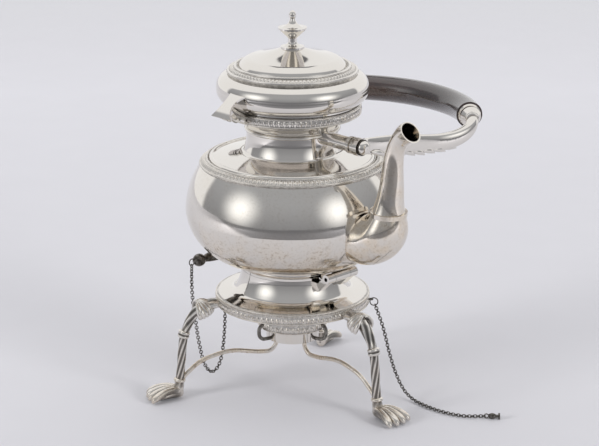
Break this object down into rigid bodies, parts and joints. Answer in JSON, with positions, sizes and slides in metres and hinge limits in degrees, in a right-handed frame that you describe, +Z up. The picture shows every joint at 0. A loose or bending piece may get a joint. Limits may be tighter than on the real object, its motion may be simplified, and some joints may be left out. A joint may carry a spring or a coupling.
{
  "type": "spirit kettle on stand",
  "caption": "Round-bellied silver kettle with hinged lid, swan-neck spout and wooden swing handle, hinged on a footed stand over a lift-out spirit lamp, with hinge pins on chains.",
  "frame": {"origin": "on the floor, under the kettle's axis", "axes": "+Z up; +X the way the spout points; +Y the side that the swing handle is folded to, with the lid hinge at -Y"},
  "size_m": [0.2843, 0.314, 0.3526],
  "materials": {
    "silver": "polished silver, tarnished in the hollows",
    "dark_silver": "blackened silver",
    "wood_grip": "dark, polished",
    "wick_cotton": "plaited cotton"
  },
  "bodies": {
    "stand": {"stand_dish": "silver", "stand_band": "silver", "front_stand_lugs": "silver", "rear_stand_lugs": "silver", "leg_front": "silver", "leg_left": "silver", "leg_rear": "silver", "stretcher_front": "silver", "stretcher_left": "silver", "stretcher_rear": "silver", "front_eyelet": "dark_silver", "rear_eyelet": "dark_silver", "front_chain_ring": "dark_silver", "front_chain": "dark_silver", "rear_chain": "dark_silver", "loose_pin": "dark_silver"},
    "kettle": {"kettle_belly": "silver", "kettle_shoulder": "silver", "shoulder_band": "silver", "kettle_neck": "silver", "neck_bead": "silver", "neck_band": "silver", "kettle_foot": "silver", "front_kettle_lug": "silver", "rear_kettle_lug": "silver", "spout": "silver", "spout_ring": "silver", "pivot_boss_front": "silver", "pivot_boss_rear": "silver", "pivot_cap_front": "silver", "pivot_cap_rear": "silver", "lid_hinge_knuckles": "silver", "lid_hinge_pin": "dark_silver"},
    "lid": {"lid_rim": "silver", "lid_band": "silver", "lid_dome": "silver", "lid_bezel": "silver", "lid_finial": "silver", "finial_nut": "dark_silver", "lid_hinge_tab": "silver"},
    "bail": {"bail_arm_front": "silver", "bail_arm_rear": "silver", "bail_ferrule_front": "silver", "bail_ferrule_rear": "silver", "bail_grip": "wood_grip"},
    "rear_pin": {"rear_pin": "dark_silver"},
    "lamp": {"lamp_cup": "silver", "lamp_band": "silver", "lamp_top": "silver", "wick_holder": "dark_silver", "wick": "wick_cotton", "lamp_handle_left": "silver", "lamp_handle_right": "silver", "lamp_handle_back": "silver"}
  },
  "joints": [
    {"name": "kettle_tilt", "type": "hinge", "parent": "stand", "child": "kettle", "pos_m": [-0.06, 0, 0.1223], "axis": [0, -1, 0], "range_deg": [0, 40]},
    {"name": "lid_hinge", "type": "hinge", "parent": "kettle", "child": "lid", "pos_m": [0, -0.066, 0.2672], "axis": [1, 0, 0], "range_deg": [0, 105]},
    {"name": "bail_swing", "type": "hinge", "parent": "kettle", "child": "bail", "pos_m": [0, 0, 0.2447], "axis": [1, 0, 0], "range_deg": [0, 180]},
    {"name": "lamp_lift", "type": "slide", "parent": "stand", "child": "lamp", "axis": [0, 0, 1], "range_m": [0, 0.012]},
    {"name": "rear_pin_draw", "type": "slide", "parent": "stand", "child": "rear_pin", "axis": [0, -1, 0], "range_m": [0, 0.04], "deforming": ["rear_chain"]}
  ]
}
